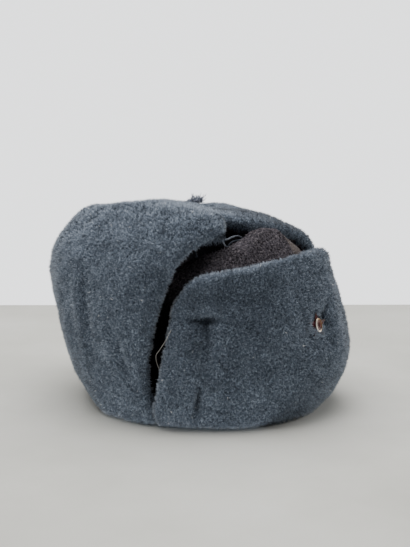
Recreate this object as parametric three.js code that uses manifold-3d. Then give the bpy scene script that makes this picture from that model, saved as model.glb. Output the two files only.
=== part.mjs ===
// A winter cap with its ear flaps folded up over the crown. A soft wool crown stands
// inside two padded flaps of pile cloth: a front flap with a small enamelled badge, and
// one long flap that makes both ears and the neck. A thin tie comes from each ear.
// Millimetres, +Z up. The forehead is towards -Y and the wearer's right towards -X.
// The cap rests on its lower edge, and its origin is under the middle of its box.
import * as THREE from "three";
import { mergeVertices } from "three/addons/utils/BufferGeometryUtils.js";
import Module from "manifold-3d";

const wasm = await Module();
wasm.setup();

// Driving sizes
const RIM = { halfWidth: 95, halfFront: 101, halfBack: 84 }; // middle of the flaps' lower edge
const FLAP_THICKNESS = 14;
const RIM_PRESSED = 1.2; // how far the cap's own weight flattens the lower edge
const BELLY_HEIGHT = 58;
const SHOULDER_HEIGHT = 119;
const CROWN_WALL = 3;
const CROWN_GAP = 0.2; // between the crown and the flaps at the lower edge
const FRONT_TUCK = 1.4; // how far the front flap's foot is drawn in from the middle of the rim
const CUT_GAP = 0.3; // between a piece and the seat that is cut for it

// The enamelled star sits in a dimple of the front flap. Its seat is a flat that faces
// forwards and a little up, `ahead` of the middle of the rim.
const BADGE = { radius: 10, waist: 0.48, edge: 1.4, peak: 2.4, side: 6, ahead: 115.4, height: 73, tilt: 12 };
const BADGE_RING = { halfWidth: 3.3, halfHeight: 4.7, wire: 0.8 };
const BADGE_POST = { radius: 1.2, length: 6 };
const DIMPLE = { flat: 12, round: 25 };

const TIE_DIAMETER = 1.4;
const TIE_STEP = 3.5; // length of one step of a tie's tube
const FRAY_HEAD = { radius: 1.3, length: 3 };
const FRAY_LOCKS = { count: 9, radius: 0.75, longest: 13, shortest: 0.62, spread: 0.32 };
const FRAY_TOWARDS = new THREE.Vector3(10, -9, 6).normalize();

// Fineness of the faceted surfaces
const FRONT_STEPS = { round: 38, up: 14 };
const EAR_STEPS = { round: 52, up: 14 };
const CROWN_STEPS = { round: 40, up: 13 };
const SIDES = { room: 20, post: 8, cord: 8, ring: 16, wire: 6, lock: 5 };
const LENGTH_STEPS = 40; // chords that measure a line's length
const MERGE_DISTANCE = 1e-3;
const STEP_ASIDE = 1e-3; // share of a surface that its slopes are measured over

const { degToRad, radToDeg, lerp, clamp, smoothstep, euclideanModulo } = THREE.MathUtils;

// Angles are seen from above, in degrees: 0 is the forehead, 90 the right ear, 180 the neck.
function outward(angle) {
  return new THREE.Vector3(-Math.sin(degToRad(angle)), -Math.cos(degToRad(angle)), 0);
}

function forward(angle) {
  return outward(angle - 90);
}

function rimRadius(angle) {
  const across = Math.sin(degToRad(angle));
  const along = Math.cos(degToRad(angle));
  const halfLength = along > 0 ? RIM.halfFront : RIM.halfBack;
  return 1 / Math.hypot(across / RIM.halfWidth, along / halfLength);
}

// The front flap, a row for each section from its left end to its right end. Angles are
// at the foot and the top, sizes in millimetres out from the rim and up from the floor.
const FRONT_FLAP = [
  { foot: -63, top: -55, belly: 10, brow: -7, height: 98 },
  { foot: -55, top: -47, belly: 12, brow: -6, height: 113 },
  { foot: -36, top: -31, belly: 15.5, brow: -4, height: 122 },
  { foot: -12, top: -10, belly: 17, brow: -3, height: 127 },
  { foot: 12, top: 10, belly: 15, brow: -4, height: 125 },
  { foot: 34, top: 28, belly: 13, brow: -5, height: 118 },
  { foot: 55, top: 46, belly: 12, brow: -4, height: 110 },
  { foot: 64.8, top: 57, belly: 10.5, brow: -1, height: 93 },
];

// Levels of the front flap between its foot and its top edge: the share of the height,
// and the shares of the belly and the brow that the cloth stands out there.
const FRONT_LEVELS = [
  { up: 0.13, belly: 0.52, brow: 0 },
  { up: 0.4, belly: 1, brow: 0 },
  { up: 0.8, belly: 0.35, brow: 0.5 },
];

// The ear and neck flap, a row for each section from the right temple round the neck to
// the left temple. faces is the way a section looks out and lean how far its top shifts
// round towards the forehead; the others are distances out from the foot, and heights.
const EAR_FLAP = [
  { rim: 65.5, faces: 100, lean: 13, belly: 8, shoulder: -12, crest: -35, crestZ: 134, lip: -54, lipZ: 139 },
  { rim: 73, faces: 97, lean: 13, belly: 10, shoulder: -5, crest: -39, crestZ: 146, lip: -69, lipZ: 148 },
  { rim: 92, faces: 92, lean: 5, belly: 12, shoulder: 1, crest: -37, crestZ: 153, lip: -79, lipZ: 154 },
  { rim: 115, faces: 108, lean: 0, belly: 16, shoulder: 15, crest: -22, crestZ: 152, lip: -56, lipZ: 154 },
  { rim: 138, faces: 134, lean: 0, belly: 24, shoulder: 30, crest: 5, crestZ: 147, lip: -15, lipZ: 151 },
  { rim: 160, faces: 160, lean: 0, belly: 30, shoulder: 37, crest: 22, crestZ: 144, lip: 7, lipZ: 151 },
  { rim: 180, faces: 180, lean: 0, belly: 31, shoulder: 39, crest: 25, crestZ: 144, lip: 13, lipZ: 151 },
  { rim: 200, faces: 200, lean: 0, belly: 27, shoulder: 33, crest: 18, crestZ: 144, lip: 5, lipZ: 149 },
  { rim: 222, faces: 226, lean: 0, belly: 21, shoulder: 20, crest: 0, crestZ: 144, lip: -22, lipZ: 148 },
  { rim: 245, faces: 252, lean: 0, belly: 14, shoulder: 8, crest: -25, crestZ: 145, lip: -61, lipZ: 149 },
  { rim: 268, faces: 268, lean: 4, belly: 10, shoulder: -1, crest: -46, crestZ: 145, lip: -104, lipZ: 149 },
  { rim: 287, faces: 270, lean: 8, belly: 8, shoulder: -5, crest: -45, crestZ: 139, lip: -98, lipZ: 144 },
  { rim: 294.5, faces: 271, lean: 8, belly: 6, shoulder: -10, crest: -40, crestZ: 132, lip: -83, lipZ: 141 },
];

// Dents in the flaps' outer faces, where a thread holds the cloth down or it has creased.
// slant is how far a dent moves round for each millimetre up.
const FRONT_DENTS = [
  { name: "tack", angle: 43.8, height: 82.5, across: 8, up: 5, slant: 0, depth: 4.5 },
  { name: "valley under the tack", angle: 43.8, height: 60, across: 7, up: 22, slant: 0, depth: 2 },
  { name: "pucker at the lower edge", angle: 46.3, height: 24, across: 4.5, up: 14, slant: -0.15, depth: 3 },
  { name: "crease beside the badge", angle: -9.5, height: 81, across: 4.5, up: 9, slant: -0.3, depth: 2 },
];
const EAR_DENTS = [
  { name: "long crease", angle: 82, height: 56, across: 6, up: 26, slant: 0.4, depth: 2 },
  { name: "short crease", angle: 99, height: 74, across: 6, up: 20, slant: 0.1, depth: 1.6 },
  { name: "neck crease", angle: 128, height: 62, across: 8, up: 26, slant: 0.2, depth: 2 },
  { name: "far neck crease", angle: -140, height: 66, across: 8, up: 28, slant: -0.2, depth: 2 },
  { name: "far ear crease", angle: -96, height: 60, across: 7, up: 24, slant: -0.3, depth: 1.8 },
];

// The crown, a row for each level from its lower edge up: its size as a share of the
// rim's, less the flap's thickness at the foot, how much further out its neck side is,
// and its height.
const CROWN = [
  { share: 1.008, back: 0, height: 4 },
  { share: 1.05, back: 14, height: 42 },
  { share: 0.99, back: 26, height: 83 },
  { share: 0.86, back: 29, height: 110 },
  { share: 0.63, back: 23, height: 126 },
  { share: 0.33, back: 10, height: 134 },
  { share: 0, back: 0, height: 135 },
];

// Bumps and dents of the crown's soft top: where, how wide and how high.
const CROWN_RELIEF = [
  { name: "front bulge", x: 15, y: -60, across: 34, along: 15, rise: 20 },
  { name: "fold under the right ear", x: -28, y: -58, across: 14, along: 9, rise: 5 },
  { name: "hollow under the flaps", x: -10, y: -16, across: 40, along: 26, rise: -33 },
  { name: "pressed by the left ear", x: 46, y: -34, across: 24, along: 24, rise: -10 },
  { name: "neck hollow", x: 0, y: 52, across: 48, along: 30, rise: -8 },
];

// The ties' routes, from the lobe that each is sewn to.
const RIGHT_TIE = [
  [-34.9, -58.7, 135.9],
  [-27, -55, 135.4],
  [-20, -51.5, 135.8],
  [-13.6, -49, 136],
  [-8.3, -47.5, 135.8],
  [-3.9, -46.6, 134.6],
  [-0.4, -45, 132.9],
  [0.5, -42.6, 131.8],
  [-1.3, -40.3, 131.4],
  [-4.6, -37.2, 129.8],
  [-7, -32.5, 122.5],
  [-8.5, -27.5, 114.5],
  [-10, -21, 107.2],
  [-11, -14, 105.8],
  [-12, -8, 111],
  [-13, -4.2, 123],
  [-13, -1.8, 138],
  [-13, -0.6, 150],
  [-13, -0.5, 156],
  [-12, -0.7, 160],
  [-10, -2.5, 161.4],
];
const LEFT_TIE = [
  [-7.5, -29.5, 139.6],
  [-8.5, -30.5, 136.5],
  [-9.8, -32.5, 132],
  [-12, -36, 129.3],
  [-12.9, -39, 127.5],
  [-10.8, -41, 126.3],
  [-7, -40.5, 124.4],
  [-2, -38.8, 122],
  [3, -36.3, 120.6],
  [8, -33.5, 119.2],
];

function geometryOf(points, triangles) {
  const geometry = new THREE.BufferGeometry();
  const numbers = points.flatMap((point) => point.toArray());
  geometry.setAttribute("position", new THREE.Float32BufferAttribute(numbers, 3));
  geometry.setIndex(triangles.flat());
  return mergeVertices(geometry, MERGE_DISTANCE);
}

function solidOf(geometry) {
  const bare = geometry.clone().deleteAttribute("normal").deleteAttribute("uv");
  const merged = mergeVertices(bare, MERGE_DISTANCE);
  const vertProperties = new Float32Array(merged.attributes.position.array);
  const triVerts = new Uint32Array(merged.index.array);
  return new wasm.Manifold(new wasm.Mesh({ numProp: 3, vertProperties, triVerts }));
}

function geometryFrom(solid) {
  const { vertProperties, triVerts } = solid.getMesh();
  const geometry = new THREE.BufferGeometry();
  geometry.setAttribute("position", new THREE.BufferAttribute(vertProperties, 3));
  return geometry.setIndex(new THREE.BufferAttribute(triVerts, 1));
}

// A smooth surface through rows of points: rows[k] runs round the cap at level k.
function surfaceThrough(rows) {
  const rounds = rows.map((row) => new THREE.CatmullRomCurve3(row));
  return (u, v) => new THREE.CatmullRomCurve3(rounds.map((round) => round.getPoint(u))).getPoint(v);
}

function lengthOf(line) {
  const places = Array.from({ length: LENGTH_STEPS + 1 }, (_, i) => line(i / LENGTH_STEPS));
  return places.slice(1).reduce((sum, place, i) => sum + place.distanceTo(places[i]), 0);
}

// Values from 0 to 1 that crowd together near both ends, where a sheet's edge is rounded
// in steps of 30 degrees.
function crowded(steps, edge) {
  const rounded = [0, 30, 60, 90].map((turn) => edge * (1 - Math.cos(degToRad(turn))));
  const middle = Array.from({ length: steps - 1 }, (_, i) => edge + ((1 - 2 * edge) * (i + 1)) / steps);
  return [...rounded, ...middle, ...rounded.map((value) => 1 - value).reverse()];
}

// A padded sheet of even thickness with rounded edges. middle(u, v) is its middle surface,
// u running round the cap and v from the foot to the top. shape moves a finished point.
function paddedSheet({ middle, steps, shape }) {
  const half = FLAP_THICKNESS / 2;
  const us = crowded(steps.round, half / lengthOf((u) => middle(u, 0.5)));
  const vs = crowded(steps.up, half / lengthOf((v) => middle(0.5, v)));
  const grid = us.map((u) => vs.map((v) => middle(u, v)));
  const reach = (i, j, di, dj) => {
    let sum = 0;
    for (let a = i, b = j; grid[a + di]?.[b + dj]; a += di, b += dj) {
      sum += grid[a][b].distanceTo(grid[a + di][b + dj]);
      if (sum > half) break;
    }
    return sum;
  };
  const roundness = (distance) => Math.sqrt(1 - (1 - Math.min(distance / half, 1)) ** 2);
  const points = [];
  const outer = [];
  const inner = [];
  us.forEach((u, i) => {
    outer.push([]);
    inner.push([]);
    vs.forEach((v, j) => {
      const alongU = middle(Math.min(u + STEP_ASIDE, 1), v).sub(middle(Math.max(u - STEP_ASIDE, 0), v));
      const alongV = middle(u, Math.min(v + STEP_ASIDE, 1)).sub(middle(u, Math.max(v - STEP_ASIDE, 0)));
      const normal = alongV.cross(alongU).normalize();
      const round = roundness(Math.min(reach(i, j, 1, 0), reach(i, j, -1, 0)));
      const up = roundness(Math.min(reach(i, j, 0, 1), reach(i, j, 0, -1)));
      const fullness = round * up;
      const face = grid[i][j].clone().addScaledVector(normal, half * fullness);
      const back = grid[i][j].clone().addScaledVector(normal, -half * fullness);
      outer[i].push(points.push(resting(shape(face, fullness))) - 1);
      inner[i].push(points.push(resting(back)) - 1);
    });
  });
  const triangles = [];
  for (let i = 0; i < us.length - 1; i++) {
    for (let j = 0; j < vs.length - 1; j++) {
      const towardsCorner = i < us.length / 2 === j < vs.length / 2;
      for (const [side, flipped] of [[outer, false], [inner, true]]) {
        const [a, b, c, d] = [side[i][j], side[i + 1][j], side[i + 1][j + 1], side[i][j + 1]];
        const pair = towardsCorner ? [[a, d, c], [a, c, b]] : [[a, d, b], [b, d, c]];
        triangles.push(...pair.map((t) => (flipped ? t.reverse() : t)));
      }
    }
  }
  return geometryOf(points, triangles);
}

// The cap's weight flattens what would reach below the floor.
function resting(point) {
  point.z = Math.max(point.z, 0);
  return point;
}

// Pushes a point of an outer face in by what the dents take there. Where the sheet thins
// out towards its edge, so does the dent.
function dented(point, dents, fullness) {
  const angle = radToDeg(Math.atan2(-point.x, -point.y));
  const radius = Math.hypot(point.x, point.y);
  let depth = 0;
  for (const dent of dents) {
    const up = point.z - dent.height;
    const round = degToRad(euclideanModulo(angle - dent.angle + 180, 360) - 180) * radius;
    const across = (round - dent.slant * up) / dent.across;
    depth += dent.depth * Math.exp(-(across ** 2) - (up / dent.up) ** 2);
  }
  return point.addScaledVector(outward(angle), -depth * fullness);
}

const FOOT_HEIGHT = -RIM_PRESSED;

// The badge's own frame: x to the wearer's left, y up and z out of the cloth.
const badgeFrame = new THREE.Object3D();
badgeFrame.position.set(BADGE.side, -BADGE.ahead, BADGE.height);
badgeFrame.rotation.x = degToRad(90 - BADGE.tilt);
badgeFrame.updateMatrix();

function dimpled(point) {
  const local = point.applyMatrix4(badgeFrame.matrix.clone().invert());
  const pressed = 1 - smoothstep(Math.hypot(local.x, local.y), DIMPLE.flat, DIMPLE.round);
  if (local.z > 0) local.z *= 1 - pressed;
  return local.applyMatrix4(badgeFrame.matrix);
}

function frontFlap() {
  const level = (place) =>
    FRONT_FLAP.map((row) => {
      const { angle, out, height } = place(row);
      return outward(angle).multiplyScalar(rimRadius(angle) + out).setZ(height);
    });
  const middle = surfaceThrough([
    level((row) => ({ angle: row.foot, out: -FRONT_TUCK, height: FOOT_HEIGHT })),
    ...FRONT_LEVELS.map(({ up, belly, brow }) =>
      level((row) => ({
        angle: lerp(row.foot, row.top, up),
        out: row.belly * belly + row.brow * brow,
        height: row.height * up,
      })),
    ),
    level((row) => ({ angle: row.top, out: row.brow, height: row.height })),
  ]);
  const shape = (point, fullness) => dimpled(dented(point, FRONT_DENTS, fullness));
  const sheet = solidOf(paddedSheet({ middle, steps: FRONT_STEPS, shape }));
  const roomRadius = BADGE.radius + CUT_GAP;
  const roomDepth = FLAP_THICKNESS;
  const room = new THREE.CylinderGeometry(roomRadius, roomRadius, roomDepth, SIDES.room);
  room.rotateX(Math.PI / 2).translate(0, 0, roomDepth / 2 - CUT_GAP).applyMatrix4(badgeFrame.matrix);
  const boreRadius = BADGE_POST.radius + CUT_GAP;
  const boreLength = BADGE_POST.length + 2 * CUT_GAP;
  const bore = new THREE.CylinderGeometry(boreRadius, boreRadius, boreLength, SIDES.post);
  bore.rotateX(Math.PI / 2).translate(0, 0, -BADGE_POST.length / 2).applyMatrix4(badgeFrame.matrix);
  return geometryFrom(sheet.subtract(solidOf(room)).subtract(solidOf(bore)));
}

function earFlap() {
  const level = (place) =>
    EAR_FLAP.map((row) => {
      const { out, height } = place(row);
      const side = row.rim < 180 ? 1 : -1;
      const lean = row.lean * side * clamp(height / SHOULDER_HEIGHT, 0, 1);
      const foot = outward(row.rim).multiplyScalar(rimRadius(row.rim));
      const moved = foot.addScaledVector(outward(row.faces), out).addScaledVector(forward(row.faces), lean);
      return moved.setZ(height);
    });
  const middle = surfaceThrough([
    level(() => ({ out: 0, height: FOOT_HEIGHT })),
    level((row) => ({ out: row.belly, height: BELLY_HEIGHT })),
    level((row) => ({ out: row.shoulder, height: SHOULDER_HEIGHT })),
    level((row) => ({ out: row.crest, height: row.crestZ })),
    level((row) => ({ out: row.lip, height: row.lipZ })),
  ]);
  const shape = (point, fullness) => dented(point, EAR_DENTS, fullness);
  return paddedSheet({ middle, steps: EAR_STEPS, shape });
}

function crown() {
  const levels = CROWN.map(({ share, back, height }) => new THREE.Vector3(share, back, height));
  const profile = new THREE.CatmullRomCurve3(levels);
  const inset = FLAP_THICKNESS / 2 + CROWN_GAP;
  const surface = (u, v) => {
    const { x: share, y: back, z: height } = profile.getPoint(v);
    const facing = outward(360 * u);
    const radius = (rimRadius(360 * u) - inset) * share + back * Math.max(facing.y, 0) ** 2;
    const point = facing.multiplyScalar(radius).setZ(height);
    const nearTop = smoothstep(height, CROWN[2].height, CROWN[4].height);
    for (const { x, y, across, along, rise } of CROWN_RELIEF) {
      const distance = Math.hypot((point.x - x) / across, (point.y - y) / along);
      point.z += rise * nearTop * Math.exp(-(distance ** 2));
    }
    return point;
  };
  const points = [];
  const rings = [1, -1].map((side) =>
    Array.from({ length: CROWN_STEPS.up }, (_, j) =>
      Array.from({ length: CROWN_STEPS.round }, (_, i) => {
        const u = i / CROWN_STEPS.round;
        const v = j / CROWN_STEPS.up;
        const point = surface(u, v);
        if (side > 0) return points.push(point) - 1;
        const alongU = surface(u + STEP_ASIDE, v).sub(surface(u - STEP_ASIDE, v));
        const alongV = surface(u, v + STEP_ASIDE).sub(surface(u, Math.max(v - STEP_ASIDE, 0)));
        const inwards = alongU.cross(alongV).normalize();
        const lining = point.addScaledVector(inwards, CROWN_WALL);
        if (j === 0) lining.z = CROWN[0].height;
        return points.push(lining) - 1;
      }),
    ),
  );
  const top = surface(0, 1);
  const poles = [points.push(top) - 1, points.push(top.clone().setZ(top.z - CROWN_WALL)) - 1];
  const triangles = [];
  for (let i = 0; i < CROWN_STEPS.round; i++) {
    const next = (i + 1) % CROWN_STEPS.round;
    rings.forEach((ring, side) => {
      const add = (t) => triangles.push(side ? t.reverse() : t);
      for (let j = 0; j < CROWN_STEPS.up - 1; j++) {
        add([ring[j][i], ring[j + 1][i], ring[j][next]]);
        add([ring[j][next], ring[j + 1][i], ring[j + 1][next]]);
      }
      const last = ring.at(-1);
      add([last[i], poles[side], last[next]]);
    });
    triangles.push([rings[0][0][i], rings[0][0][next], rings[1][0][i]]);
    triangles.push([rings[0][0][next], rings[1][0][next], rings[1][0][i]]);
  }
  return geometryOf(points, triangles);
}

// A five-pointed star whose ridges rise to its middle, with an oval ring there and a post
// behind it.
function badge() {
  const tips = 5;
  const points = [new THREE.Vector3(0, 0, 0), new THREE.Vector3(0, 0, BADGE.peak)];
  const triangles = [];
  for (let i = 0; i < 2 * tips; i++) {
    const angle = Math.PI / 2 + (i * Math.PI) / tips;
    const radius = i % 2 ? BADGE.radius * BADGE.waist : BADGE.radius;
    points.push(new THREE.Vector3(radius * Math.cos(angle), radius * Math.sin(angle), 0));
    points.push(new THREE.Vector3(radius * Math.cos(angle), radius * Math.sin(angle), BADGE.edge));
    const [back, front] = [2 + 2 * i, 3 + 2 * i];
    const [nextBack, nextFront] = [2 + ((2 * i + 2) % (4 * tips)), 3 + ((2 * i + 2) % (4 * tips))];
    triangles.push([0, nextBack, back], [1, front, nextFront]);
    triangles.push([back, nextBack, nextFront], [back, nextFront, front]);
  }
  const star = solidOf(geometryOf(points, triangles));
  const torus = new THREE.TorusGeometry(1, BADGE_RING.wire / BADGE_RING.halfHeight, SIDES.wire, SIDES.ring);
  torus.scale(BADGE_RING.halfWidth, BADGE_RING.halfHeight, BADGE_RING.halfHeight);
  torus.translate(0, 0, BADGE.peak - BADGE_RING.wire / 4);
  const { radius: postRadius, length: postLength } = BADGE_POST;
  const post = new THREE.CylinderGeometry(postRadius, postRadius, postLength, SIDES.post);
  post.rotateX(Math.PI / 2).translate(0, 0, (BADGE.edge - postLength) / 2);
  return geometryFrom(star.add(solidOf(torus)).add(solidOf(post)));
}

function tie(route) {
  const path = new THREE.CatmullRomCurve3(route.map((place) => new THREE.Vector3(...place)));
  const section = Array.from({ length: SIDES.cord }, (_, i) =>
    new THREE.Vector2(TIE_DIAMETER / 2, 0).rotateAround(new THREE.Vector2(), (2 * Math.PI * i) / SIDES.cord),
  );
  const steps = Math.ceil(path.getLength() / TIE_STEP);
  const along = { steps, extrudePath: path, bevelEnabled: false };
  return new THREE.ExtrudeGeometry(new THREE.Shape(section), along);
}

// The tie's loose end: uneven locks of thread that fan out of a short head, along +Z.
function frayedEnd() {
  const head = new THREE.CylinderGeometry(FRAY_HEAD.radius, FRAY_HEAD.radius, FRAY_HEAD.length, SIDES.cord);
  let solid = solidOf(head.rotateX(Math.PI / 2).translate(0, 0, FRAY_HEAD.length / 2));
  const { count, radius, longest, shortest, spread } = FRAY_LOCKS;
  for (let i = 0; i < count; i++) {
    const length = longest * lerp(shortest, 1, Math.cos(4 * i) ** 2);
    const lock = new THREE.ConeGeometry(radius, length, SIDES.lock);
    lock.rotateX(Math.PI / 2).translate(0, 0, (length + FRAY_HEAD.length) / 2);
    lock.rotateY(spread * Math.sin(5 * i)).rotateX(spread * lerp(-1, 1, i / (count - 1)));
    solid = solid.add(solidOf(lock));
  }
  return geometryFrom(solid);
}

const pile = new THREE.MeshStandardMaterial({ color: 0x5a6674, roughness: 1, metalness: 0 });
const wool = new THREE.MeshStandardMaterial({ color: 0x4a4444, roughness: 1, metalness: 0 });
const enamel = new THREE.MeshStandardMaterial({ color: 0x7a1018, roughness: 0.25, metalness: 0.2 });
const cord = new THREE.MeshStandardMaterial({ color: 0x6c7682, roughness: 0.9, metalness: 0 });

function piece(name, geometry, material) {
  const mesh = new THREE.Mesh(geometry, material);
  mesh.name = name;
  return mesh;
}

const cap = new THREE.Group();
cap.add(piece("crown", crown(), wool));
cap.add(piece("front_flap", frontFlap(), pile));
cap.add(piece("ear_and_neck_flap", earFlap(), pile));

const star = piece("badge", badge(), enamel);
star.position.copy(badgeFrame.position);
star.rotation.copy(badgeFrame.rotation);
cap.add(star);

cap.add(piece("right_tie", tie(RIGHT_TIE), cord));
cap.add(piece("left_tie", tie(LEFT_TIE), cord));

const fray = piece("frayed_end", frayedEnd(), cord);
const tieEnd = new THREE.Vector3(...RIGHT_TIE.at(-1));
fray.position.copy(tieEnd).addScaledVector(FRAY_TOWARDS, CUT_GAP);
fray.lookAt(fray.position.clone().add(FRAY_TOWARDS));
cap.add(fray);

const box = new THREE.Box3().setFromObject(cap);
cap.position.set(-(box.min.x + box.max.x) / 2, -(box.min.y + box.max.y) / 2, 0);

export default cap;
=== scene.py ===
import math

import bmesh
import bpy
import numpy as np
from mathutils import Matrix, Vector, noise
from mathutils.bvhtree import BVHTree


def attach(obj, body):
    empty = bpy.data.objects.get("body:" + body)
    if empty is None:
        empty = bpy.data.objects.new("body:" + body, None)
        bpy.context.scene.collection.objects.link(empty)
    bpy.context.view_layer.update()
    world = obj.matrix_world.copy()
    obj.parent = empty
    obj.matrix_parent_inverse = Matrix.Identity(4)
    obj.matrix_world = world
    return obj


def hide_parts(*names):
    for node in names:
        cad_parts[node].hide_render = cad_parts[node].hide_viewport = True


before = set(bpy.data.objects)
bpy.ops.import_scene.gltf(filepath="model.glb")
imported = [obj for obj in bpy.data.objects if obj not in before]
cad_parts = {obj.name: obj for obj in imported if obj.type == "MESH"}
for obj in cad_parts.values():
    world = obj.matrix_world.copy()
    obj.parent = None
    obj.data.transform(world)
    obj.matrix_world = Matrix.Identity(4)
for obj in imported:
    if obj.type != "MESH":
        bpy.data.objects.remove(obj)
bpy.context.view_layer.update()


# The crown: a soft cap of brown-grey heathered wool cloth, cut in four panels and seamed
# from the rim to its top. It stands inside the flaps and is sewn to them at the rim.
MM = 0.001
RIM_MIDDLE = np.array([1.08788, -3.4144, 0.0])  # of the rim in the frame, in millimetres
HEART = np.array([0, 0, 60]) * MM  # in the hollow; the outer side faces away from it
SAME_PLACE = 0.01 * MM


class Value:
    """One output of a shader node. Sums written on it add Math nodes to its finish."""

    def __init__(self, finish, socket):
        self.finish = finish
        self.socket = socket

    def _sum(self, operation, first, second):
        return self.finish.node("ShaderNodeMath", {"operation": operation}, {0: first, 1: second})

    def __add__(self, other):
        return self._sum("ADD", self, other)

    def __radd__(self, other):
        return self._sum("ADD", other, self)

    def __sub__(self, other):
        return self._sum("SUBTRACT", self, other)

    def __rsub__(self, other):
        return self._sum("SUBTRACT", other, self)

    def __mul__(self, other):
        return self._sum("MULTIPLY", self, other)

    def __rmul__(self, other):
        return self._sum("MULTIPLY", other, self)


class Finish:
    """A material and the one way in which its nodes are made."""

    def __init__(self, name, roughness, **constants):
        self.material = bpy.data.materials.new(name)
        self.material.use_nodes = True
        self.tree = self.material.node_tree
        self.shader = self.tree.nodes["Principled BSDF"]
        self.shader.inputs["Roughness"].default_value = roughness
        for socket, value in constants.items():
            self.shader.inputs[socket.replace("_", " ")].default_value = value

    def node(self, kind, settings=None, values=None, output=0):
        """Adds a node: its settings first, then the values or links of its sockets."""
        made = self.tree.nodes.new(kind)
        for name, setting in (settings or {}).items():
            if name == "stops":
                ramp = made.color_ramp.elements
                for place, color in setting[2:]:
                    ramp.new(place)
                for element, (place, color) in zip(ramp, setting):
                    element.position = place
                    element.color = (*color, 1)
            else:
                setattr(made, name, setting)
        for name, value in (values or {}).items():
            if isinstance(value, Value):
                self.tree.links.new(value.socket, made.inputs[name])
            else:
                made.inputs[name].default_value = value
        return Value(self, made.outputs[output])

    def place(self):
        """The place on the piece, in metres in the frame."""
        return self.node("ShaderNodeTexCoord", output="Object")

    def attribute(self, name):
        """A number that the piece's own mesh carries."""
        return self.node("ShaderNodeAttribute", {"attribute_name": name}, output="Fac")

    def noise(self, size, detail=2.0, roughness=0.5):
        """Noise whose grains are about size metres across."""
        sockets = {"Vector": self.place(), "Scale": 1 / size, "Detail": detail, "Roughness": roughness}
        return self.node("ShaderNodeTexNoise", None, sockets)

    def ramp(self, value, *stops):
        """A colour for each value: a stop is a value and its colour."""
        return self.node("ShaderNodeValToRGB", {"stops": stops}, {"Fac": value})

    def mixed(self, share, first, second):
        """A colour between two others."""
        sockets = {"Factor": share, 6: first, 7: second}
        return self.node("ShaderNodeMix", {"data_type": "RGBA"}, sockets, output=2)

    def feed(self, socket, value):
        self.tree.links.new(value.socket, self.shader.inputs[socket])

    def bump(self, height, distance):
        """Gives the surface relief of that depth in metres."""
        sockets = {"Strength": 1.0, "Distance": distance, "Height": height}
        self.feed("Normal", self.node("ShaderNodeBump", None, sockets))


def merged_copy(node):
    """The surface of a CAD node, with its doubled corners merged."""
    surface = bmesh.new()
    surface.from_mesh(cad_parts[node].data)
    bmesh.ops.remove_doubles(surface, verts=surface.verts, dist=SAME_PLACE)
    return surface


def shown(name, shape, *finishes):
    """A piece of the object, made from a bmesh or a mesh and its finishes."""
    mesh = shape
    if isinstance(shape, bmesh.types.BMesh):
        mesh = bpy.data.meshes.new(name)
        shape.to_mesh(mesh)
        shape.free()
    for finish in finishes:
        mesh.materials.append(finish.material)
    piece = bpy.data.objects.new(name, mesh)
    bpy.context.scene.collection.objects.link(piece)
    return piece


def evaluated(piece):
    """The piece as its modifiers leave it."""
    return piece.evaluated_get(bpy.context.evaluated_depsgraph_get())


def applied(piece):
    """Makes the piece's modifiers part of its mesh."""
    made = bpy.data.meshes.new_from_object(evaluated(piece))
    piece.modifiers.clear()
    piece.data = made
    return piece


def vectors(elements, name):
    """A vector that each element of a mesh has, as an array with a row for each."""
    values = np.zeros(len(elements) * 3, np.float32)
    elements.foreach_get(name, values)
    return values.reshape(-1, 3).astype(float)


def corners(mesh):
    return vectors(mesh.vertices, "co")


def corner_normals(mesh):
    return vectors(mesh.vertex_normals, "vector")


def move_corners(mesh, places):
    mesh.vertices.foreach_set("co", places.astype(np.float32).ravel())
    mesh.update()


def mark(mesh, name, values):
    """Gives each corner of a mesh a number that its finish reads as an attribute."""
    layer = mesh.attributes.new(name, "FLOAT", "POINT")
    layer.data.foreach_set("value", values.astype(np.float32))


def subdivide(piece, levels):
    """Adds a modifier that subdivides a piece into a smooth surface."""
    smoother = piece.modifiers.new("rounding", "SUBSURF")
    smoother.levels = levels
    smoother.render_levels = levels


def rounded(piece, levels, rounds=4):
    """Subdivides a piece into a smooth surface that still passes through its own corners."""
    wanted = corners(piece.data)
    subdivide(piece, levels)
    for _ in range(rounds):
        smooth = evaluated(piece)
        reached = corners(smooth.to_mesh())[: len(wanted)]
        smooth.to_mesh_clear()
        move_corners(piece.data, corners(piece.data) + wanted - reached)
        bpy.context.view_layer.update()
    return applied(piece)


def rough(places, size, seed):
    """Smooth noise from about -1 to 1 at each place, with swells about size metres across.

    Each seed looks at another part of it."""
    shift = Vector((seed * 7.3, seed * 3.1, seed * 5.7))
    return np.array([noise.noise(Vector(place) / size + shift) for place in places]) * 2


def uneven(places, swells):
    """Smooth noise of several sizes, added up. Each has its size, its share and its seed."""
    return sum(rough(places, size * MM, seed) * share for size, share, seed in swells)


def ease(distance, blend):
    """0 below no distance and 1 from blend on, rising evenly between them."""
    return np.clip(distance / blend, 0, 1)


def from_rim(places):
    """Places in metres in the frame, as millimetres from the middle of the rim."""
    return places / MM - RIM_MIDDLE


def outward_angle(places):
    """The angle of each place round the hat, in degrees from the forehead by the right ear."""
    own = from_rim(places)
    return np.degrees(np.arctan2(-own[:, 0], -own[:, 1]))


WOOL_DARK = (0.012, 0.0105, 0.013)
WOOL_LIGHT = (0.088, 0.081, 0.094)
WOOL_FLECK = (0.25, 0.225, 0.24)
# paler tan of the painted highlight on the top of one panel
WOOL_PAINTED_HIGHLIGHT = (0.16, 0.135, 0.112)
# near-black of the painted shade behind the flaps and in the hollow between the ears
WOOL_IN_PAINTED_SHADE = (0.003, 0.003, 0.004)
FLECK_SHARE = 0.8
PAINTED_HIGHLIGHT_SHARE = 0.4
WOOL_FUZZ = 0.5 * MM
WOOL_FIBRE = 1.6 * MM
WOOL_SPECK = 2.1 * MM
WOOL_PATCH = 14 * MM
WOOL_RELIEF = 1.3 * MM


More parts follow.
